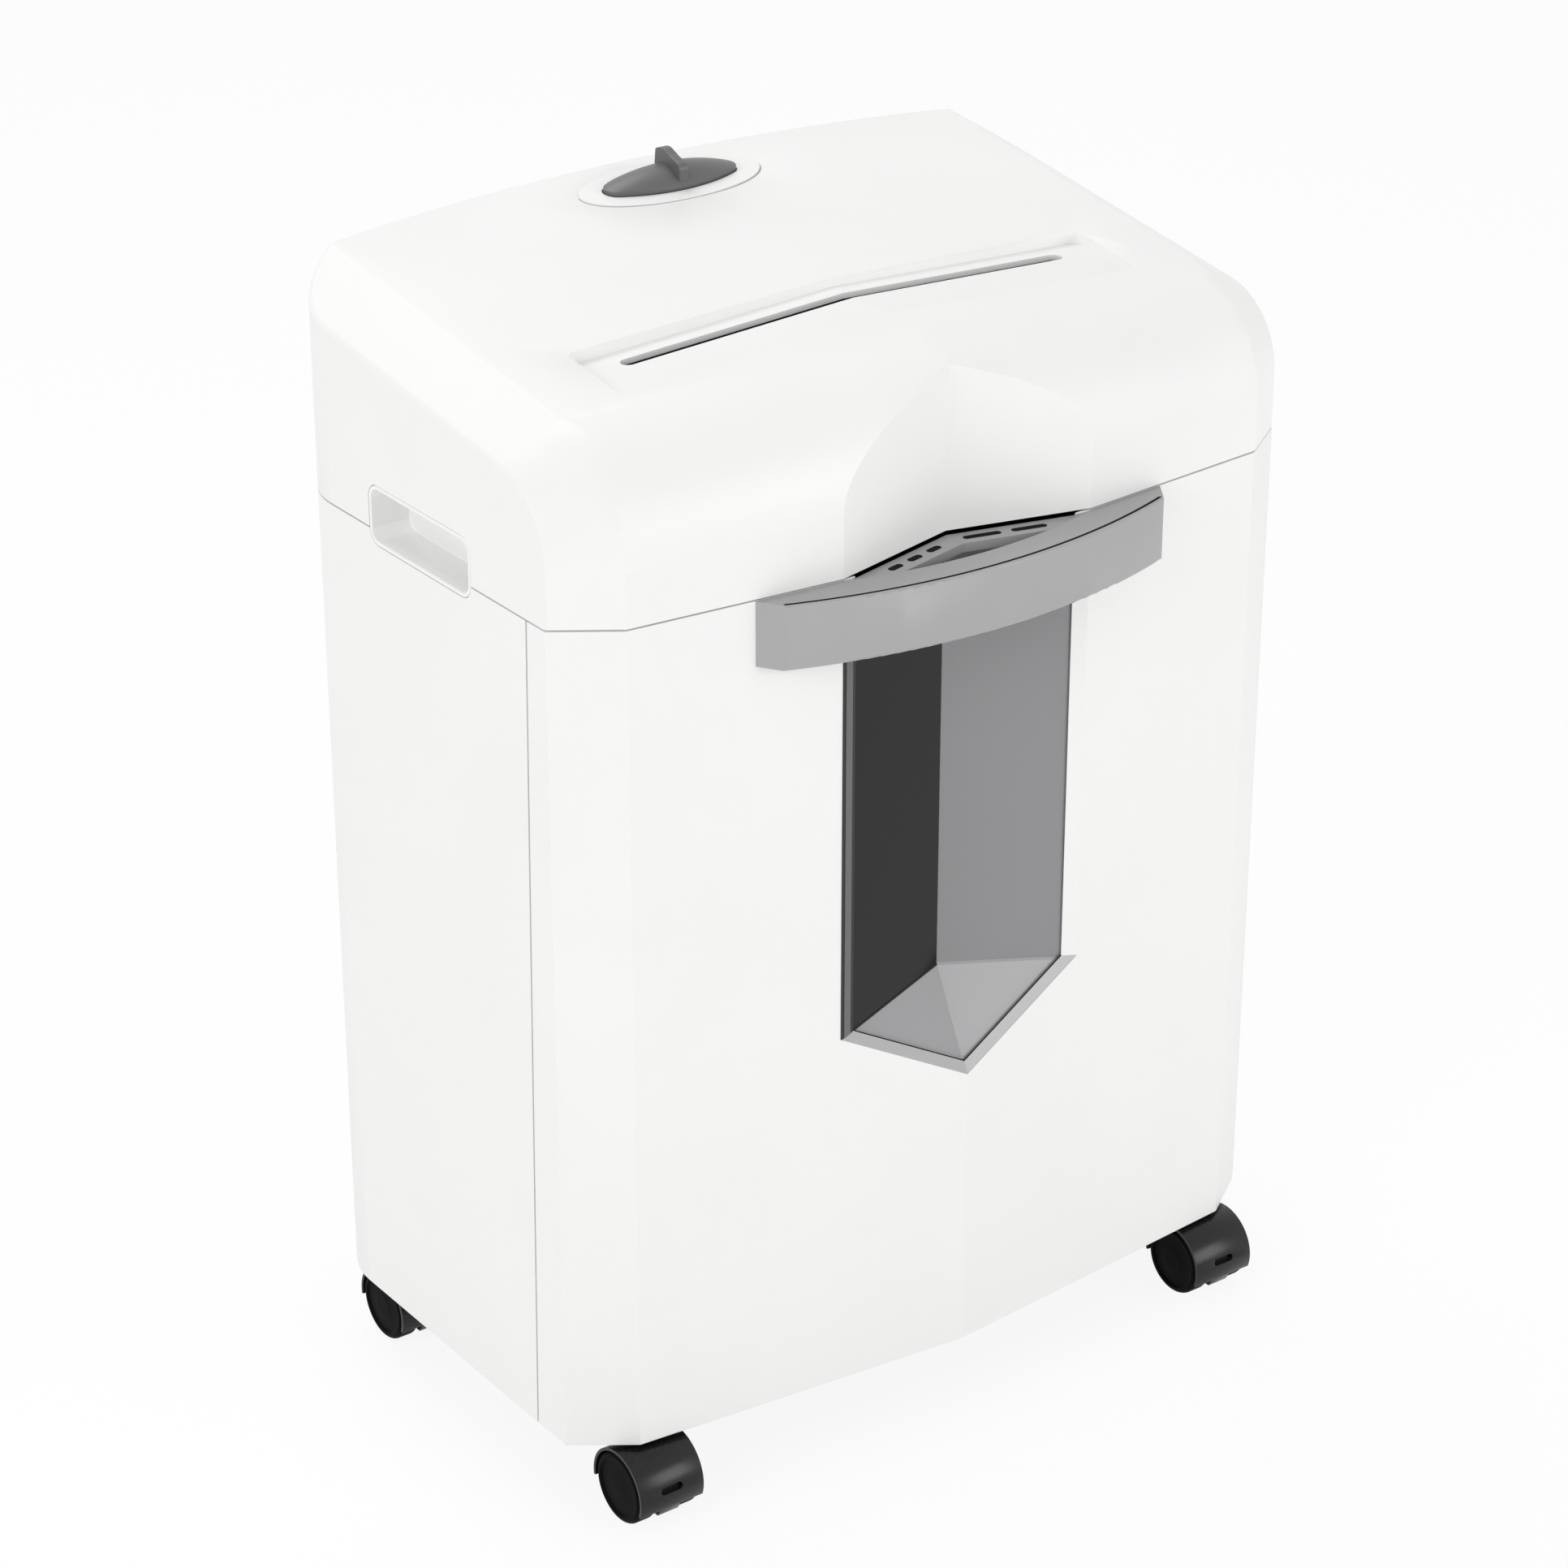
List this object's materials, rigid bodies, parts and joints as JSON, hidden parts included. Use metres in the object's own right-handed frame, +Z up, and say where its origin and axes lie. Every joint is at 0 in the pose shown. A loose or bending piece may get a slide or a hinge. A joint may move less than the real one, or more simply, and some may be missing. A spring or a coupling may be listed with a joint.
{
  "type": "paper shredder",
  "caption": "Office paper shredder: wedge-shaped cutting head with feed slot and rocker switch over a pull-out bin with smoked V window and bow handle, on twin-wheel casters",
  "frame": {"origin": "on the floor under the middle of the overall box", "axes": "+Z up, front with the handle towards -Y, +X to the right seen from the front"},
  "size_m": [0.375, 0.267, 0.5269],
  "materials": {
    "case_white": "fine moulded satin",
    "tub_grey": "plain moulded",
    "smoked_pane": "smoked clear plastic",
    "handle_grey": "satin",
    "switch_grey": "satin",
    "black_plastic": "satin",
    "wheel_black": "soft satin",
    "steel": "turned and ground",
    "plate_steel": "zinc plated",
    "bush_brass": "sintered",
    "gear_white": "natural nylon",
    "motor_iron": "lacquered laminations",
    "coil_copper": "enamelled copper",
    "board_green": "glass fibre board",
    "inner_black": "plain moulded"
  },
  "bodies": {
    "housing": {"head_cover": "case_white", "cabinet": "case_white", "grip_cups": "case_white", "switch_seat": "case_white", "head_base": "inner_black", "base_plate": "inner_black", "head_screws": "steel", "switch_block": "inner_black", "paper_throat": "black_plastic", "paper_sensors": "black_plastic", "side_plate_left": "plate_steel", "side_plate_right": "plate_steel", "tie_rods": "steel", "shaft_bushes": "bush_brass", "front_comb": "inner_black", "rear_comb": "inner_black", "reduction_pin": "steel", "gear_cover": "inner_black", "motor_stator": "motor_iron", "motor_coils": "coil_copper", "motor_brackets": "plate_steel", "control_board": "board_green", "board_parts": "black_plastic", "interlock_switch": "black_plastic", "cord_gland": "black_plastic", "caster_sockets": "black_plastic"},
    "bin": {"bin_front": "case_white", "bin_tub": "tub_grey", "bin_window": "smoked_pane", "bin_handle": "handle_grey", "bin_screws": "steel"},
    "rocker": {"switch_rocker": "switch_grey"},
    "rear_cutter": {"rear_cutter_shaft": "steel", "rear_cutter_discs": "steel", "rear_sync_gear": "steel", "cutter_drive_gear": "steel"},
    "front_cutter": {"front_cutter_shaft": "steel", "front_cutter_discs": "steel", "front_sync_gear": "steel"},
    "reduction": {"reduction_gear": "gear_white"},
    "armature": {"motor_rotor": "steel", "motor_pinion": "steel", "motor_fan": "black_plastic"},
    "plunger": {"interlock_plunger": "switch_grey"},
    "caster_front_left": {"caster_hood_front_left": "wheel_black", "caster_pins_front_left": "steel"},
    "wheel_front_left_left": {"caster_wheel_front_left_left": "wheel_black"},
    "wheel_front_left_right": {"caster_wheel_front_left_right": "wheel_black"},
    "caster_front_right": {"caster_hood_front_right": "wheel_black", "caster_pins_front_right": "steel"},
    "wheel_front_right_left": {"caster_wheel_front_right_left": "wheel_black"},
    "wheel_front_right_right": {"caster_wheel_front_right_right": "wheel_black"},
    "caster_rear_left": {"caster_hood_rear_left": "wheel_black", "caster_pins_rear_left": "steel"},
    "wheel_rear_left_left": {"caster_wheel_rear_left_left": "wheel_black"},
    "wheel_rear_left_right": {"caster_wheel_rear_left_right": "wheel_black"},
    "caster_rear_right": {"caster_hood_rear_right": "wheel_black", "caster_pins_rear_right": "steel"},
    "wheel_rear_right_left": {"caster_wheel_rear_right_left": "wheel_black"},
    "wheel_rear_right_right": {"caster_wheel_rear_right_right": "wheel_black"}
  },
  "joints": [
    {"name": "bin_slide", "type": "slide", "parent": "housing", "child": "bin", "axis": [0, -1, 0], "range_m": [0, 0.18]},
    {"name": "rocker_tilt", "type": "hinge", "parent": "housing", "child": "rocker", "pos_m": [0, 0.10322, 0.51051], "axis": [0, 0.9952, 0.0977], "range_deg": [-7, 7]},
    {"name": "rear_cutter_turn", "type": "hinge", "parent": "housing", "child": "rear_cutter", "pos_m": [0, -0.008, 0.449], "axis": [1, 0, 0], "continuous": true},
    {"name": "front_cutter_turn", "type": "hinge", "parent": "housing", "child": "front_cutter", "pos_m": [0, -0.044, 0.449], "axis": [1, 0, 0], "continuous": true},
    {"name": "reduction_turn", "type": "hinge", "parent": "housing", "child": "reduction", "pos_m": [0, 0.02863, 0.45704], "axis": [1, 0, 0], "continuous": true},
    {"name": "armature_turn", "type": "hinge", "parent": "housing", "child": "armature", "pos_m": [0, 0.0645, 0.454], "axis": [1, 0, 0], "continuous": true},
    {"name": "plunger_press", "type": "slide", "parent": "housing", "child": "plunger", "axis": [0, 1, 0], "range_m": [0, 0.003], "stiffness_N_per_m": 150, "springref_m": -0.002},
    {"name": "swivel_front_left", "type": "hinge", "parent": "housing", "child": "caster_front_left", "pos_m": [-0.155, -0.084, 0.04], "axis": [0, 0, 1], "continuous": true},
    {"name": "roll_front_left_left", "type": "hinge", "parent": "caster_front_left", "child": "wheel_front_left_left", "pos_m": [-0.155, -0.096, 0.0165], "axis": [1, 0, 0], "continuous": true},
    {"name": "roll_front_left_right", "type": "hinge", "parent": "caster_front_left", "child": "wheel_front_left_right", "pos_m": [-0.155, -0.096, 0.0165], "axis": [1, 0, 0], "continuous": true},
    {"name": "swivel_front_right", "type": "hinge", "parent": "housing", "child": "caster_front_right", "pos_m": [0.155, -0.084, 0.04], "axis": [0, 0, 1], "continuous": true},
    {"name": "roll_front_right_left", "type": "hinge", "parent": "caster_front_right", "child": "wheel_front_right_left", "pos_m": [0.155, -0.096, 0.0165], "axis": [1, 0, 0], "continuous": true},
    {"name": "roll_front_right_right", "type": "hinge", "parent": "caster_front_right", "child": "wheel_front_right_right", "pos_m": [0.155, -0.096, 0.0165], "axis": [1, 0, 0], "continuous": true},
    {"name": "swivel_rear_left", "type": "hinge", "parent": "housing", "child": "caster_rear_left", "pos_m": [-0.162, 0.098, 0.04], "axis": [0, 0, 1], "continuous": true},
    {"name": "roll_rear_left_left", "type": "hinge", "parent": "caster_rear_left", "child": "wheel_rear_left_left", "pos_m": [-0.162, 0.086, 0.0165], "axis": [1, 0, 0], "continuous": true},
    {"name": "roll_rear_left_right", "type": "hinge", "parent": "caster_rear_left", "child": "wheel_rear_left_right", "pos_m": [-0.162, 0.086, 0.0165], "axis": [1, 0, 0], "continuous": true},
    {"name": "swivel_rear_right", "type": "hinge", "parent": "housing", "child": "caster_rear_right", "pos_m": [0.162, 0.098, 0.04], "axis": [0, 0, 1], "continuous": true},
    {"name": "roll_rear_right_left", "type": "hinge", "parent": "caster_rear_right", "child": "wheel_rear_right_left", "pos_m": [0.162, 0.086, 0.0165], "axis": [1, 0, 0], "continuous": true},
    {"name": "roll_rear_right_right", "type": "hinge", "parent": "caster_rear_right", "child": "wheel_rear_right_right", "pos_m": [0.162, 0.086, 0.0165], "axis": [1, 0, 0], "continuous": true}
  ],
  "couplings": [
    {"joint": "front_cutter_turn", "follows": "rear_cutter_turn", "ratio": -1},
    {"joint": "reduction_turn", "follows": "rear_cutter_turn", "ratio": -2.5714},
    {"joint": "armature_turn", "follows": "rear_cutter_turn", "ratio": 12.857}
  ]
}
